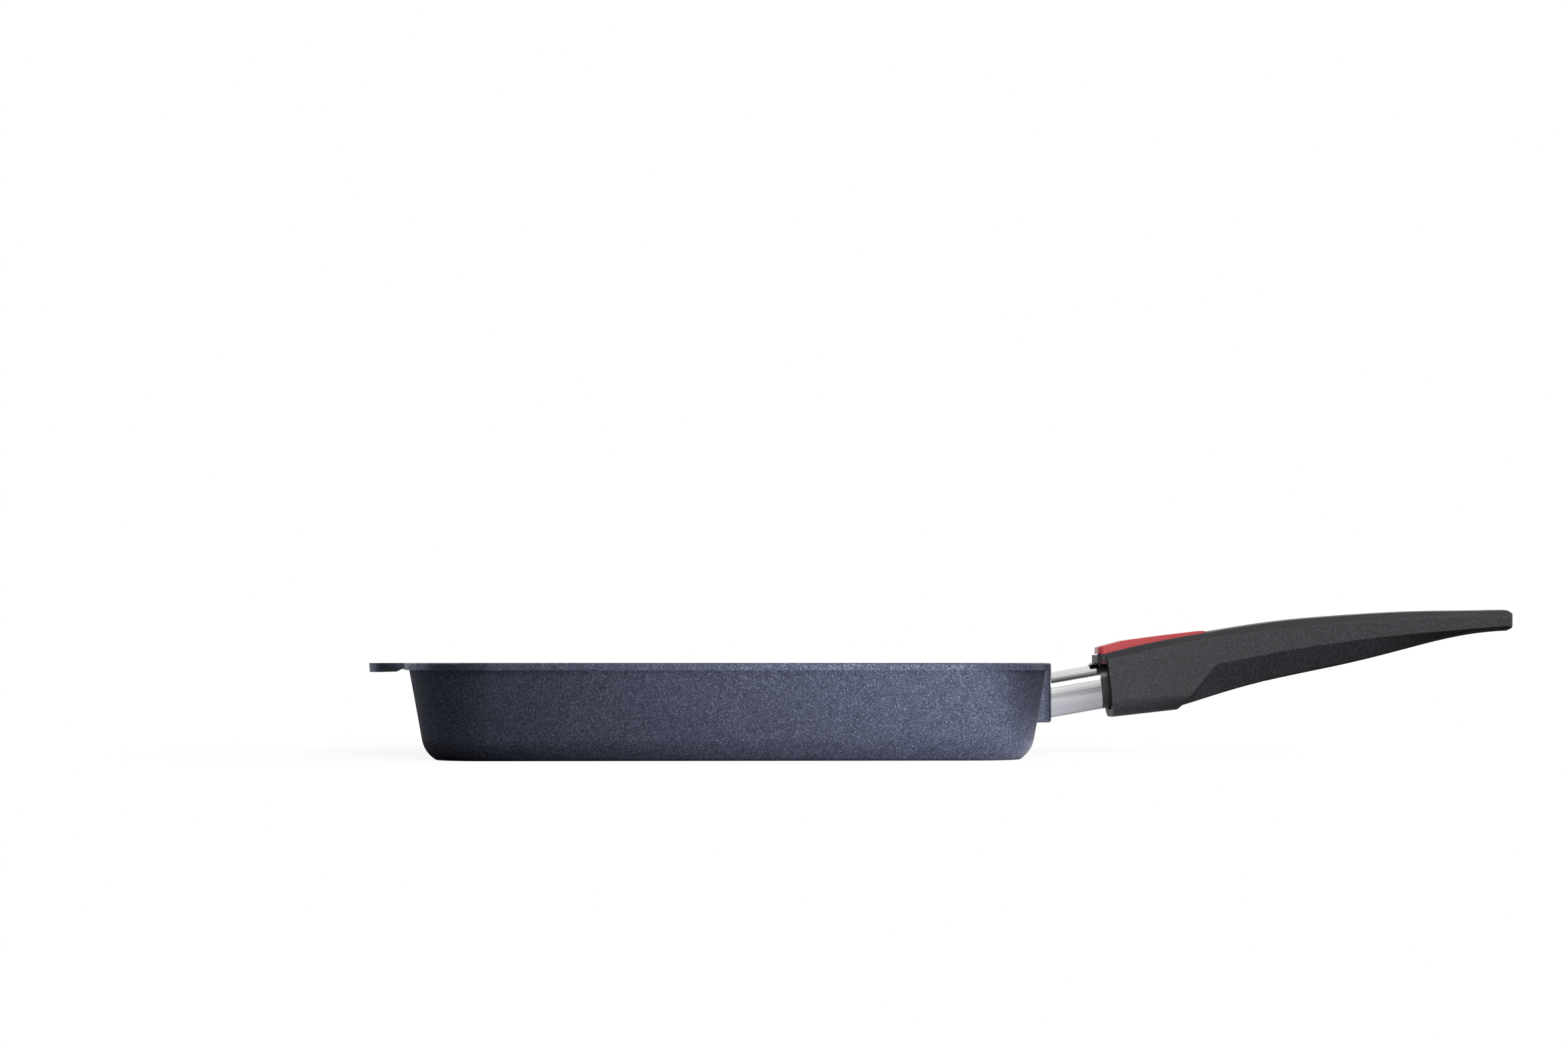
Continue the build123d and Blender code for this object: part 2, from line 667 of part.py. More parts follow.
def stations(outline, count):
    """Even places along the grip, from an outline's first point to its last."""
    first, last = outline[0][0], outline[-1][0]
    return [first + (last - first) * step / (count - 1) for step in range(count)]


def block_floor(x):
    """Height of the front block's sloping underside."""
    return BLOCK_FOOT[1] + math.tan(math.radians(BLOCK_SLOPE)) * (x - BLOCK_FOOT[0])


def scallop_wedge():
    """Space behind the front block that the fingers use, back to the end of the tail."""
    steep = math.tan(math.radians(SCALLOP_ANGLE))
    x, z = BLOCK_FOOT
    end = GRIP_END_X + SCALLOP_RUN
    return side_prism(
        [
            (x - SCALLOP_RUN / 2, z - SCALLOP_RUN / 2 * steep),
            (x + SCALLOP_RUN / 2, z + SCALLOP_RUN / 2 * steep),
            (end, z + SCALLOP_RUN / 2 * steep),
            (end, z - SCALLOP_RUN / 2 * steep),
        ],
        TAIL_KEEP_WIDTH - OVERRUN,
    )


def bottom_corner():
    """What the rounding of the front block takes off one of its long bottom edges."""
    radius = BLOCK_BOTTOM_RADIUS
    start, end = [Vector(x, half, block_floor(x)) for x, half in GRIP_HALF_WIDTH[:2]]
    along = end - start
    square = Rectangle(2 * radius, 2 * radius) - Pos(-radius, radius) * Circle(radius)
    edge_plane = Plane(origin=start - along, x_dir=(0, 1, 0), z_dir=along)
    return extrude(edge_plane * square, amount=4 * along.length)


def grip_outside():
    """Moulded outer form: crowned top, deep front block, scalloped slim tail."""
    body = loft([
        top_section(x, follow(GRIP_TOP, x), follow(GRIP_EDGE, x), follow(GRIP_HALF_WIDTH, x)).face()
        for x in stations(GRIP_TOP, TOP_SECTION_COUNT)
    ])
    near, far = -CUT_REACH, 3 * CUT_REACH
    body -= side_prism(
        [(near, block_floor(near)), (far, block_floor(far)), (far, -3 * CUT_REACH), (near, -3 * CUT_REACH)],
        CUT_REACH / 2,
    )
    body -= both_sides(bottom_corner())
    keep = loft([
        tail_section(
            x, follow(TAIL_CREASE, x), follow(TAIL_BOTTOM, x), follow(TAIL_HALF_BOTTOM, x),
            follow(GRIP_HALF_WIDTH, x),
        ).face()
        for x in stations(TAIL_BOTTOM, TAIL_SECTION_COUNT)
    ])
    return body - (scallop_wedge() - keep)


def tail_end_cut():
    """What is cut away behind the tail: its chamfered end and its rounded corners."""
    end = GRIP_END_X
    top = follow(GRIP_TOP, end)
    bottom = follow(TAIL_BOTTOM, end)
    behind = side_prism(
        [
            (end - TAIL_CHAMFER, CUT_REACH), (end - TAIL_CHAMFER, top),
            (end, top - TAIL_CHAMFER_DROP), (end, bottom + TAIL_FOOT_RISE),
            (end - TAIL_FOOT_CHAMFER, bottom), (end - TAIL_FOOT_CHAMFER, -CUT_REACH),
            (end + CUT_REACH, -CUT_REACH), (end + CUT_REACH, CUT_REACH),
        ],
        CUT_REACH / 2,
    )
    radius = TAIL_CORNER_RADIUS
    centre = (end - radius, follow(GRIP_HALF_WIDTH, end) - radius)
    square = Pos(centre[0] + radius, centre[1] + radius) * Rectangle(2 * radius, 2 * radius)
    corner = extrude(square - Pos(*centre) * Circle(radius), amount=CUT_REACH)
    return behind + both_sides(corner)


def grip_nose():
    """Hood in front of the side walls, over the head of the catch."""
    length = FRONT_TOP[0] + NOSE_ROOT - NOSE_X
    plan = Pos(NOSE_X + length / 2, 0) * RectangleRounded(length, NOSE_WIDTH, NOSE_CORNER)
    return Pos(0, 0, NOSE_BOTTOM) * extrude(plan, amount=NOSE_TOP - NOSE_BOTTOM)


def grip_mouth():
    """Wider mouth round the collar, so that a dark gap shows between them."""
    return bar(
        SLEEVE_WIDTH + 2 * MOUTH_SIDE_GAP, SLEEVE_HEIGHT + 2 * MOUTH_GAP, SLEEVE_CORNER + MOUTH_GAP,
        0, CORE_START + MOUTH_LENGTH,
    )


def button_channel():
    """Channel for the button, open below to the catch in front of the rear floor."""
    front = NOSE_X + NOSE_WALL
    rear = button_rear + CHANNEL_REAR_GAP
    channel = side_prism(
        [(front, CHANNEL_FRONT_Z), (front, CUT_REACH), (rear, CUT_REACH), (rear, CHANNEL_REAR_Z)],
        BUTTON_WIDTH / 2 + BUTTON_CLEARANCE,
    )
    slope = math.tan(tilt)
    slot = side_prism(
        [
            (front, slope * front),
            (front, CUT_REACH),
            (MECHANISM_END_X, CUT_REACH),
            (MECHANISM_END_X, slope * MECHANISM_END_X),
        ],
        MECHANISM_WIDTH / 2,
    )
    return channel + slot


def hanging_slot():
    plan = Pos(SLOT_CENTRE_X, 0) * SlotOverall(SLOT_LENGTH, SLOT_WIDTH)
    return extrude(plan, amount=CUT_REACH)


def screw_levels():
    """Heights from the axis of the floor face, the washer face and the head's underside."""
    floor_face = -SPINE_HEIGHT / 2 - CORE_FIT - SCREW_FLOOR
    washer_face = floor_face - WASHER_THICKNESS
    return floor_face, washer_face, washer_face - SCREW_HEAD_HEIGHT


def screw_well():
    floor_face = screw_levels()[0]
    well = axis_peg(COUNTERBORE / 2, SCREW_STATION, floor_face - CUT_REACH, floor_face)
    return well + axis_peg(SCREW_DIAMETER / 2 + SCREW_HOLE_GAP, SCREW_STATION, floor_face - OVERRUN, 0)


def handle_grip():
    """Phenolic grip, open at the front for the core and on top for the button."""
    grip = grip_outside() - tilted_cut(*FRONT_TOP) - tail_end_cut()
    grip += grip_nose()
    grip -= core_outside(CORE_FIT, 0)
    grip -= grip_mouth()
    grip -= button_channel()
    grip -= hanging_slot()
    return grip - screw_well()


def core_screw():
    """Pan-head screw with a cross-shaped drive."""
    washer_face, head_low = screw_levels()[1:]
    tip = -SPINE_HEIGHT / 2 + SCREW_BITE
    shank = axis_peg(SCREW_DIAMETER / 2, SCREW_STATION, washer_face - ROOT, tip)
    head = axis_peg(SCREW_HEAD / 2, SCREW_STATION, head_low, washer_face)
    screw = shank + chamfer(head.faces().sort_by(Axis.Z)[0].edges(), SCREW_HEAD_CHAMFER)
    for width, length in ((DRIVE_LENGTH, DRIVE_WIDTH), (DRIVE_WIDTH, DRIVE_LENGTH)):
        screw -= axis_box(
            SCREW_STATION - length / 2, SCREW_STATION + length / 2, width / 2,
            head_low - OVERRUN, head_low + DRIVE_DEPTH,
        )
    return screw


def core_screw_washer():
    floor_face, washer_face = screw_levels()[:2]
    washer = axis_peg(WASHER_DIAMETER / 2, SCREW_STATION, washer_face, floor_face)
    return washer - axis_peg(
        SCREW_DIAMETER / 2 + WASHER_GAP, SCREW_STATION, washer_face - OVERRUN, floor_face + OVERRUN
    )


def write_parts():
    os.makedirs("parts", exist_ok=True)
    export_step(pan_body(), "parts/pan_body.step")
    for make in (
        handle_grip, handle_core, flame_guard_sleeve, sleeve_liner, sleeve_collar, catch_spring,
        catch_rivets, release_button, button_pivot_pin, core_screw, core_screw_washer,
    ):
        export_step(to_lug(make()), "parts/" + make.__name__ + ".step")


write_parts()
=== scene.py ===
import math

import bpy
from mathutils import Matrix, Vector


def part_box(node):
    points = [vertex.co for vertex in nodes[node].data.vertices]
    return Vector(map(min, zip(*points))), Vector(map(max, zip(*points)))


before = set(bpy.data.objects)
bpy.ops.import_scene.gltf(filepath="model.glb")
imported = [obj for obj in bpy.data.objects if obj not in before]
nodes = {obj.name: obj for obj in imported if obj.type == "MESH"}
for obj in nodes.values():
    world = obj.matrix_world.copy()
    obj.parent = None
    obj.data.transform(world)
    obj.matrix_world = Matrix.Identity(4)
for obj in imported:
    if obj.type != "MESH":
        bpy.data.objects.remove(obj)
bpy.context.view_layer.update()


# Pan body. One aluminium casting, blasted and sprayed inside and out with a dark blue
# non-stick coating that carries fine mineral flecks. Its base is turned flat and left bare.
def linear(hex_colour):
    """Linear RGBA of an sRGB hex colour."""
    values = [int(hex_colour[i:i + 2], 16) / 255 for i in (1, 3, 5)]
    return tuple(v / 12.92 if v <= 0.04045 else ((v + 0.055) / 1.055) ** 2.4 for v in values) + (1.0,)


def grey(value):
    """Linear RGBA of a grey."""
    return (value, value, value, 1.0)


def cells_per_metre(size_mm):
    """Texture scale whose cells are this size."""
    return 1000.0 / size_mm


def start_finish(name):
    """New material with its shader, and the object coordinates that its patterns follow."""
    finish = bpy.data.materials.new(name)
    finish.use_nodes = True
    shader = finish.node_tree.nodes["Principled BSDF"]
    place = finish.node_tree.nodes.new("ShaderNodeTexCoord").outputs["Object"]
    return finish, shader, place


def link(finish, output, socket):
    """Links a node's output to another node's input."""
    finish.node_tree.links.new(output, socket)


def add(finish, kind, inputs, stops=(), **settings):
    """Adds a node with its settings; an input is a value or another node's output.

    The stops are the (position, colour) pairs of a colour ramp.
    """
    node = finish.node_tree.nodes.new(kind)
    for name, value in settings.items():
        setattr(node, name, value)
    for socket, value in inputs.items():
        if isinstance(value, bpy.types.NodeSocket):
            link(finish, value, node.inputs[socket])
        else:
            node.inputs[socket].default_value = value
    if stops:
        elements = node.color_ramp.elements
        while len(elements) < len(stops):
            elements.new(0.5)
        for element, (position, colour) in zip(elements, stops):
            element.position = position
            element.color = colour
    return node


def assign(piece, finish):
    """Gives the whole piece one finish."""
    for slot in piece.material_slots:
        slot.material = finish
    if not piece.material_slots:
        piece.data.materials.append(finish)


# Sockets of a Mix node: its factor, the two colours and their blend, and the two plain values.
FACTOR, FIRST_COLOUR, SECOND_COLOUR, BLENDED = 0, 6, 7, 2
FIRST_VALUE, SECOND_VALUE = 2, 3

# A sprayed ceramic-filled coating with metal flake is dark, satin and finely speckled, and it
# brightens towards the light; the bare base is bright turned aluminium with fine rings.
coating, shader, place = start_finish("speckled_nonstick_coating")
FLECK_MM = 0.34
CLOUD_MM = 5.0
CLOUD_LOW, CLOUD_HIGH = 0.35, 0.65
PEBBLE_MM = 0.7
PEBBLE_HEIGHT = 0.000015
BASE_SKIN = 0.00004
RING_MM = 0.55
flecks = add(coating, "ShaderNodeTexVoronoi", {"Vector": place, "Scale": cells_per_metre(FLECK_MM)})
fleck_value = add(coating, "ShaderNodeSeparateColor", {"Color": flecks.outputs["Color"]}).outputs["Red"]
blue = add(coating, "ShaderNodeValToRGB", {"Fac": fleck_value}, stops=[
    (0.0, linear("#4b4f61")), (0.5, linear("#5f647a")), (0.85, linear("#7a7f96")),
    (1.0, linear("#a3a8bd")),
]).outputs["Color"]
cloud = add(coating, "ShaderNodeTexNoise", {
    "Vector": place, "Scale": cells_per_metre(CLOUD_MM), "Detail": 4.0, "Roughness": 0.6,
}).outputs["Fac"]
patchy = add(coating, "ShaderNodeValToRGB", {"Fac": cloud}, stops=[
    (CLOUD_LOW, grey(0.86)), (CLOUD_HIGH, grey(1.0)),
]).outputs["Color"]
blue = add(coating, "ShaderNodeMix", {
    FACTOR: 1.0, FIRST_COLOUR: blue, SECOND_COLOUR: patchy,
}, data_type="RGBA", blend_type="MULTIPLY").outputs[BLENDED]
height = add(coating, "ShaderNodeSeparateXYZ", {"Vector": place}).outputs["Z"]
bare = add(coating, "ShaderNodeMath", {0: height, 1: BASE_SKIN}, operation="LESS_THAN").outputs[0]
flat_place = add(coating, "ShaderNodeVectorMath", {0: place, 1: (1, 1, 0)}, operation="MULTIPLY").outputs[0]
radius = add(coating, "ShaderNodeVectorMath", {0: flat_place}, operation="LENGTH").outputs["Value"]
turns = add(coating, "ShaderNodeMath", {
    0: radius, 1: 2 * math.pi * cells_per_metre(RING_MM),
}, operation="MULTIPLY").outputs[0]
rings = add(coating, "ShaderNodeMath", {0: turns}, operation="SINE").outputs[0]
ring_tone = add(coating, "ShaderNodeMapRange", {"Value": rings, "From Min": -1.0}).outputs[0]
turned = add(coating, "ShaderNodeMix", {
    FACTOR: ring_tone, FIRST_COLOUR: linear("#9c9da0"), SECOND_COLOUR: linear("#b9babd"),
}, data_type="RGBA").outputs[BLENDED]
colour = add(coating, "ShaderNodeMix", {
    FACTOR: bare, FIRST_COLOUR: blue, SECOND_COLOUR: turned,
}, data_type="RGBA").outputs[BLENDED]
link(coating, colour, shader.inputs["Base Color"])
metal = add(coating, "ShaderNodeMapRange", {"Value": bare, "To Min": 0.85, "To Max": 1.0}).outputs[0]
link(coating, metal, shader.inputs["Metallic"])
rough = add(coating, "ShaderNodeMapRange", {
    "Value": fleck_value, "From Min": 0.6, "From Max": 1.0, "To Min": 0.36, "To Max": 0.26,
}).outputs[0]
link(coating, rough, shader.inputs["Roughness"])
pebble = add(coating, "ShaderNodeTexNoise", {
    "Vector": place, "Scale": cells_per_metre(PEBBLE_MM), "Detail": 3.0,
}).outputs["Fac"]
relief = add(coating, "ShaderNodeMix", {
    FACTOR: bare, FIRST_VALUE: pebble, SECOND_VALUE: ring_tone,
}, data_type="FLOAT").outputs[0]
bump = add(coating, "ShaderNodeBump", {"Height": relief, "Distance": PEBBLE_HEIGHT, "Strength": 0.5})
link(coating, bump.outputs["Normal"], shader.inputs["Normal"])
assign(nodes["pan_body"], coating)


# Flame guard sleeve. A drawn stainless steel tube round the tongue that keeps the flame off the
# grip, polished and lightly brushed along its length. Its flat sides mirror the studio in bands
# as if they bulged on a wide radius; that bulge is in the shading alone.
HANDLE_TILT = math.radians(10.0)
NOISE_LOW, NOISE_HIGH = 0.3, 0.7
# Real brush marks, and the moulded grains further down, are finer: they are drawn coarse to show.
STREAK_MM = 0.5
STREAK_STRETCH = 0.012
STREAK_HEIGHT = 0.000002
SIDE_RADIUS = 0.05
steel, shader, place = start_finish("brushed_stainless_steel")
lowest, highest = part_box("flame_guard_sleeve")
middle_x, middle_z = [(lowest[axis] + highest[axis]) / 2 for axis in (0, 2)]
SLEEVE_AXIS = (0.0, 0.0, middle_z * math.cos(HANDLE_TILT) - middle_x * math.sin(HANDLE_TILT))
along = add(steel, "ShaderNodeMapping", {"Vector": place, "Rotation": (0.0, HANDLE_TILT, 0.0)}).outputs[0]
squeezed = add(steel, "ShaderNodeMapping", {"Vector": along, "Scale": (STREAK_STRETCH, 1.0, 1.0)})
streaks = add(steel, "ShaderNodeTexNoise", {
    "Vector": squeezed.outputs[0], "Scale": cells_per_metre(STREAK_MM), "Detail": 3.0,
}).outputs["Fac"]
tone = add(steel, "ShaderNodeValToRGB", {"Fac": streaks}, stops=[
    (NOISE_LOW, linear("#dadadd")), (NOISE_HIGH, linear("#e9e9eb")),
]).outputs["Color"]
link(steel, tone, shader.inputs["Base Color"])
shader.inputs["Metallic"].default_value = 1.0
rough = add(steel, "ShaderNodeMapRange", {
    "Value": streaks, "From Min": NOISE_LOW, "From Max": NOISE_HIGH, "To Min": 0.13, "To Max": 0.19,
}).outputs[0]
link(steel, rough, shader.inputs["Roughness"])
from_axis = add(steel, "ShaderNodeVectorMath", {0: along, 1: SLEEVE_AXIS}, operation="SUBTRACT")
off_axis = add(steel, "ShaderNodeSeparateXYZ", {"Vector": from_axis.outputs[0]}).outputs["Z"]
off_axis_squared = add(steel, "ShaderNodeMath", {0: off_axis, 1: 2.0}, operation="POWER").outputs[0]
crown = add(steel, "ShaderNodeMath", {
    0: off_axis_squared, 1: -1 / (2 * SIDE_RADIUS),
}, operation="MULTIPLY").outputs[0]
streak_height = add(steel, "ShaderNodeMath", {0: streaks, 1: STREAK_HEIGHT}, operation="MULTIPLY").outputs[0]
relief = add(steel, "ShaderNodeMath", {0: crown, 1: streak_height}, operation="ADD").outputs[0]
bump = add(steel, "ShaderNodeBump", {"Height": relief, "Distance": 1.0, "Strength": 1.0})
link(steel, bump.outputs["Normal"], shader.inputs["Normal"])
assign(nodes["flame_guard_sleeve"], steel)


# Sleeve liner. A pressed inner tube that slides on the cast tongue, dark from heat and wear. It
# stays inside the sleeve, out of sight while the handle is on the pan.
SCALE_MM = 2.0
liner_steel, shader, place = start_finish("dull_pressed_steel")
scale_marks = add(liner_steel, "ShaderNodeTexNoise", {
    "Vector": place, "Scale": cells_per_metre(SCALE_MM), "Detail": 4.0,
}).outputs["Fac"]
dull = add(liner_steel, "ShaderNodeValToRGB", {"Fac": scale_marks}, stops=[
    (NOISE_LOW, linear("#2f2f31")), (NOISE_HIGH, linear("#414144")),
]).outputs["Color"]
link(liner_steel, dull, shader.inputs["Base Color"])
shader.inputs["Metallic"].default_value = 0.8
shader.inputs["Roughness"].default_value = 0.5
assign(nodes["sleeve_liner"], liner_steel)


# Sleeve collar. A moulded ring of dark grey heat-proof polymer that caps the sleeve's end in the
# mouth of the grip, with a soft satin surface.
COLLAR_GRAIN_MM = 0.5
COLLAR_GRAIN_HEIGHT = 0.00002
collar_polymer, shader, place = start_finish("satin_grey_polymer")
grain = add(collar_polymer, "ShaderNodeTexNoise", {
    "Vector": place, "Scale": cells_per_metre(COLLAR_GRAIN_MM), "Detail": 2.0,
}).outputs["Fac"]
satin = add(collar_polymer, "ShaderNodeValToRGB", {"Fac": grain}, stops=[
    (NOISE_LOW, linear("#2c2c2f")), (NOISE_HIGH, linear("#38383b")),
]).outputs["Color"]
link(collar_polymer, satin, shader.inputs["Base Color"])
shader.inputs["Roughness"].default_value = 0.3
bump = add(collar_polymer, "ShaderNodeBump", {
    "Height": grain, "Distance": COLLAR_GRAIN_HEIGHT, "Strength": 0.4,
})
link(collar_polymer, bump.outputs["Normal"], shader.inputs["Normal"])
assign(nodes["sleeve_collar"], collar_polymer)


# Handle core. A die casting of aluminium alloy inside the grip, grey and slightly mottled as
# cast. A screw from the grip's underside into its spine holds the two together.
MOTTLE_MM = 3.0
die_cast, shader, place = start_finish("die_cast_aluminium")
mottle = add(die_cast, "ShaderNodeTexNoise", {
    "Vector": place, "Scale": cells_per_metre(MOTTLE_MM), "Detail": 5.0,
}).outputs["Fac"]
cast = add(die_cast, "ShaderNodeValToRGB", {"Fac": mottle}, stops=[
    (NOISE_LOW, linear("#3f4043")), (NOISE_HIGH, linear("#55565a")),
]).outputs["Color"]
link(die_cast, cast, shader.inputs["Base Color"])
shader.inputs["Metallic"].default_value = 0.7
shader.inputs["Roughness"].default_value = 0.5
assign(nodes["handle_core"], die_cast)


# Catch spring, rivets, pin, screw and washer. Strip spring steel and zinc-plated fasteners,
# bright and lightly mottled.
BRIGHT_MM = 0.6
fastener_steel, shader, place = start_finish("bright_fastener_steel")
speckle = add(fastener_steel, "ShaderNodeTexNoise", {
    "Vector": place, "Scale": cells_per_metre(BRIGHT_MM), "Detail": 2.0,
}).outputs["Fac"]
bright = add(fastener_steel, "ShaderNodeValToRGB", {"Fac": speckle}, stops=[
    (NOISE_LOW, linear("#8e8f92")), (NOISE_HIGH, linear("#a9aaad")),
]).outputs["Color"]
link(fastener_steel, bright, shader.inputs["Base Color"])
shader.inputs["Metallic"].default_value = 1.0
shader.inputs["Roughness"].default_value = 0.32
for name in ("catch_spring", "catch_rivets", "button_pivot_pin", "core_screw", "core_screw_washer"):
    assign(nodes[name], fastener_steel)


# Release button. A rocker moulded in red polymer with a satin face, so that its upward facets
# turn pale where they catch the white of the room at a low angle.
BUTTON_GRAIN_MM = 0.35
BUTTON_GRAIN_HEIGHT = 0.00002
button_polymer, shader, place = start_finish("satin_red_polymer")
grain = add(button_polymer, "ShaderNodeTexNoise", {
    "Vector": place, "Scale": cells_per_metre(BUTTON_GRAIN_MM), "Detail": 2.0,
}).outputs["Fac"]
red = add(button_polymer, "ShaderNodeValToRGB", {"Fac": grain}, stops=[
    (NOISE_LOW, linear("#c04044")), (NOISE_HIGH, linear("#d04c50")),
]).outputs["Color"]
link(button_polymer, red, shader.inputs["Base Color"])
shader.inputs["Roughness"].default_value = 0.26
shader.inputs["Specular IOR Level"].default_value = 0.7
bump = add(button_polymer, "ShaderNodeBump", {
    "Height": grain, "Distance": BUTTON_GRAIN_HEIGHT, "Strength": 0.35,
})
link(button_polymer, bump.outputs["Normal"], shader.inputs["Normal"])
assign(nodes["release_button"], button_polymer)


# Grip. A black phenolic moulding: its sides keep the fine spark-eroded grain of the mould, whose faint
# glitter is painted in as paler flecks, and the sloping band above the crease comes out smooth. Its
# upper edges carry a painted highlight, paler where their rounded normal faces up.
GRAIN_MM = 0.34
GRAIN_HEIGHT = 0.00009
SIDE_SLOPE, BAND_SLOPE = 0.30, 0.45
EDGE_RADIUS = 0.00035
FLAT_DOT, EDGE_DOT = 0.985, 0.94
SIDE_LIFT, TOP_LIFT = 0.2, 0.4
phenolic, shader, place = start_finish("grained_black_phenolic")
normal = add(phenolic, "ShaderNodeNewGeometry", {}).outputs["True Normal"]
slope = add(phenolic, "ShaderNodeSeparateXYZ", {"Vector": normal}).outputs["Z"]
smooth_band = add(phenolic, "ShaderNodeMapRange", {
    "Value": slope, "From Min": SIDE_SLOPE, "From Max": BAND_SLOPE,
}).outputs[0]
sparkle = add(phenolic, "ShaderNodeTexVoronoi", {"Vector": place, "Scale": cells_per_metre(GRAIN_MM)})
sparkle_value = add(phenolic, "ShaderNodeSeparateColor", {"Color": sparkle.outputs["Color"]}).outputs["Red"]
# Painted glints: the paler cells stand in for light caught by the grain; the darkest stop is the moulding's
# own black.
grain_with_painted_glints = add(phenolic, "ShaderNodeValToRGB", {"Fac": sparkle_value}, stops=[
    (0.0, linear("#1f1f22")), (0.50, linear("#2a2a2e")), (0.85, linear("#3a3a40")),
    (1.0, linear("#515158")),
]).outputs["Color"]
black = add(phenolic, "ShaderNodeMix", {
    FACTOR: smooth_band, FIRST_COLOUR: grain_with_painted_glints, SECOND_COLOUR: linear("#1e1e22"),
}, data_type="RGBA").outputs[BLENDED]
softened = add(phenolic, "ShaderNodeBevel", {"Radius": EDGE_RADIUS}, samples=8).outputs["Normal"]
turn = add(phenolic, "ShaderNodeVectorMath", {
    0: normal, 1: softened,
}, operation="DOT_PRODUCT").outputs["Value"]
edge = add(phenolic, "ShaderNodeMapRange", {
    "Value": turn, "From Min": FLAT_DOT, "From Max": EDGE_DOT,
}).outputs[0]
lift = add(phenolic, "ShaderNodeSeparateXYZ", {"Vector": softened}).outputs["Z"]
upper = add(phenolic, "ShaderNodeMapRange", {
    "Value": lift, "From Min": SIDE_LIFT, "From Max": TOP_LIFT,
}).outputs[0]
painted_edge_highlight = add(phenolic, "ShaderNodeMath", {0: edge, 1: upper}, operation="MULTIPLY").outputs[0]
# Painted highlight: upper edges, found by the rounded normal, are blended towards a pale grey.
colour = add(phenolic, "ShaderNodeMix", {
    FACTOR: painted_edge_highlight, FIRST_COLOUR: black, SECOND_COLOUR: linear("#66666c"),
}, data_type="RGBA").outputs[BLENDED]
link(phenolic, colour, shader.inputs["Base Color"])
shader.inputs["Roughness"].default_value = 0.45
shader.inputs["Specular IOR Level"].default_value = 0.55
grain = add(phenolic, "ShaderNodeTexNoise", {
    "Vector": place, "Scale": cells_per_metre(GRAIN_MM), "Detail": 2.0,
}).outputs["Fac"]
depth = add(phenolic, "ShaderNodeMapRange", {
    "Value": smooth_band, "To Min": 0.6, "To Max": 0.05,
}).outputs[0]
bump = add(phenolic, "ShaderNodeBump", {"Height": grain, "Distance": GRAIN_HEIGHT, "Strength": depth})
link(phenolic, bump.outputs["Normal"], shader.inputs["Normal"])
assign(nodes["handle_grip"], phenolic)


# Floor. The camera sees a white sweep with a soft contact shadow close round the pan. The pan
# and handle mirror and catch light from a dark table instead, with a white card across it that
# fades in from the left and ends under the handle.
FLOOR_SIZE = 12.0
SHADOW_REACH = (0.15, 0.30)
SHADOW_GLOW = 0.90
CARD_LEFT = (-0.11, 0.15)
CARD_RIGHT = (0.155, 0.25)
bpy.ops.object.select_all(action="DESELECT")
bpy.ops.mesh.primitive_plane_add(size=FLOOR_SIZE)
floor = bpy.context.object
floor.name = "studio_floor"
white, shader, place = start_finish("white_sweep")
path = add(white, "ShaderNodeLightPath", {})
seen = add(white, "ShaderNodeMath", {
    0: path.outputs["Is Camera Ray"], 1: path.outputs["Is Transmission Ray"],
}, operation="MAXIMUM").outputs[0]
across = add(white, "ShaderNodeSeparateXYZ", {"Vector": place}).outputs["X"]
card_left = add(white, "ShaderNodeMapRange", {
    "Value": across, "From Min": CARD_LEFT[0], "From Max": CARD_LEFT[1],
}).outputs[0]
card_right = add(white, "ShaderNodeMapRange", {
    "Value": across, "From Min": CARD_RIGHT[0], "From Max": CARD_RIGHT[1], "To Min": 1.0, "To Max": 0.0,
}).outputs[0]
card = add(white, "ShaderNodeMath", {0: card_left, 1: card_right}, operation="MULTIPLY").outputs[0]
table = add(white, "ShaderNodeMix", {
    FACTOR: card, FIRST_COLOUR: grey(0.04), SECOND_COLOUR: linear("#ededf3"),
}, data_type="RGBA").outputs[BLENDED]
colour = add(white, "ShaderNodeMix", {
    FACTOR: seen, FIRST_COLOUR: table, SECOND_COLOUR: linear("#f4f4f4"),
}, data_type="RGBA").outputs[BLENDED]
link(white, colour, shader.inputs["Base Color"])
shader.inputs["Roughness"].default_value = 0.9
distance = add(white, "ShaderNodeVectorMath", {0: place}, operation="LENGTH").outputs["Value"]
glow_share = add(white, "ShaderNodeMapRange", {
    "Value": distance, "From Min": SHADOW_REACH[0], "From Max": SHADOW_REACH[1],
    "To Min": SHADOW_GLOW, "To Max": 1.0,
}).outputs[0]
seen_glow = add(white, "ShaderNodeMath", {0: seen, 1: glow_share}, operation="MULTIPLY").outputs[0]
glow = add(white, "ShaderNodeEmission", {"Color": grey(1.0), "Strength": 1.0})
sweep = add(white, "ShaderNodeMixShader", {0: seen_glow, 1: shader.outputs[0], 2: glow.outputs[0]})
link(white, sweep.outputs[0], white.node_tree.nodes["Material Output"].inputs["Surface"])
floor.data.materials.append(white)


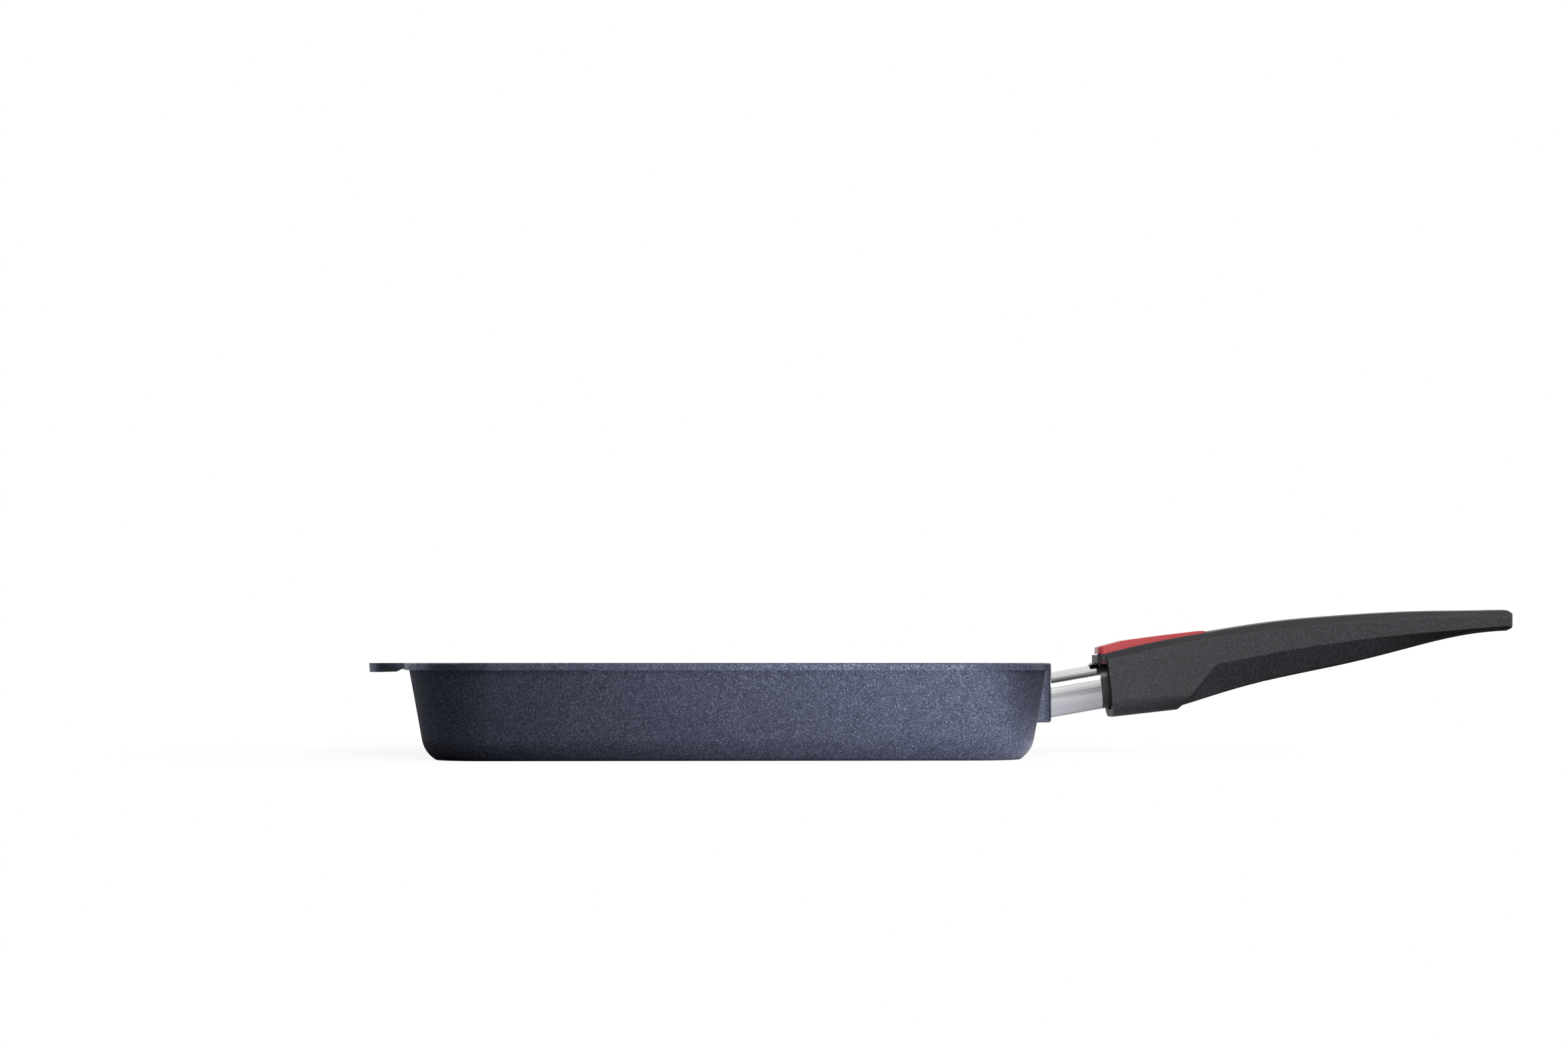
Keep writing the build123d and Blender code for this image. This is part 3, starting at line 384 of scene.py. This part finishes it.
# Studio light. The camera sees white all round. For the pan, the room is pale behind it and, in
# front, dark at the left and bright at the right, with a dark band high up that the sleeve
# mirrors. Soft boxes light the pan from the right and the front, and the card on the table.
LEFT_X, RIGHT_X = -0.07, 0.14
LEFT_SHARE = 0.12
FRONT_Y, BACK_Y = -0.1, 0.2
world = bpy.data.worlds.new("white_studio")
bpy.context.scene.world = world
world.use_nodes = True
sky = world.node_tree.nodes["Background"]
path = add(world, "ShaderNodeLightPath", {})
seen = add(world, "ShaderNodeMath", {
    0: path.outputs["Is Camera Ray"], 1: path.outputs["Is Transmission Ray"],
}, operation="MAXIMUM").outputs[0]
look = world.node_tree.nodes.new("ShaderNodeTexCoord").outputs["Generated"]
look = add(world, "ShaderNodeSeparateXYZ", {"Vector": look})
front_room = add(world, "ShaderNodeValToRGB", {"Fac": look.outputs["Z"]}, stops=[
    (0.0, grey(0.10)), (0.05, grey(0.80)), (0.30, grey(0.90)), (0.78, grey(0.90)),
    (0.86, grey(0.10)), (0.93, grey(0.10)), (0.98, grey(1.0)),
]).outputs["Color"]
side = add(world, "ShaderNodeMapRange", {
    "Value": look.outputs["X"], "From Min": LEFT_X, "From Max": RIGHT_X, "To Min": LEFT_SHARE, "To Max": 1.0,
}).outputs[0]
front_room = add(world, "ShaderNodeMix", {
    FACTOR: 1.0, FIRST_COLOUR: front_room, SECOND_COLOUR: side,
}, data_type="RGBA", blend_type="MULTIPLY").outputs[BLENDED]
behind = add(world, "ShaderNodeMapRange", {
    "Value": look.outputs["Y"], "From Min": FRONT_Y, "From Max": BACK_Y,
}).outputs[0]
room = add(world, "ShaderNodeMix", {
    FACTOR: behind, FIRST_COLOUR: front_room, SECOND_COLOUR: grey(0.9),
}, data_type="RGBA").outputs[BLENDED]
studio = add(world, "ShaderNodeMix", {
    FACTOR: seen, FIRST_COLOUR: room, SECOND_COLOUR: grey(1.0),
}, data_type="RGBA").outputs[BLENDED]
link(world, studio, sky.inputs["Color"])


def soft_box(name, place, aim, size, power):
    """Rectangular area lamp at a place, turned towards an aim point, its power in watts."""
    lamp = bpy.data.lights.new(name, "AREA")
    lamp.shape = "RECTANGLE"
    lamp.size, lamp.size_y = size
    lamp.energy = power
    holder = bpy.data.objects.new(name, lamp)
    holder.location = place
    holder.rotation_euler = (Vector(aim) - Vector(place)).to_track_quat("-Z", "Y").to_euler()
    holder.visible_camera = False
    bpy.context.scene.collection.objects.link(holder)


soft_box("key_box", place=(0.70, -0.80, 0.75), aim=(0.1, -0.1, 0.03), size=(0.6, 0.5), power=6.0)
soft_box("front_strip", place=(0.16, -1.15, 0.12), aim=(0.08, -0.13, 0.02), size=(0.14, 0.24), power=0.35)
soft_box("card_box", place=(0.16, -0.62, 0.45), aim=(0.16, -0.60, 0.0), size=(0.25, 0.40), power=2.5)


# Camera. A 70 mm lens 1.47 m off, just above the table, turned slightly towards the handle.
LENS_MM = 70.0
SENSOR_MM = 36.0
FRAME_RISE = 0.091
CAMERA_PLACE = (-0.0374, -1.466, 0.042)
CAMERA_TURN = -0.0455
FAR_CLIP = 100.0
camera_data = bpy.data.cameras.new("photo_camera")
camera_data.lens = LENS_MM
camera_data.sensor_width = SENSOR_MM
camera_data.shift_y = FRAME_RISE
camera_data.clip_end = FAR_CLIP
camera = bpy.data.objects.new("photo_camera", camera_data)
camera.location = CAMERA_PLACE
camera.rotation_euler = (math.radians(90.0), 0.0, CAMERA_TURN)
bpy.context.scene.collection.objects.link(camera)
bpy.context.scene.camera = camera
bpy.context.scene.view_settings.view_transform = "Standard"
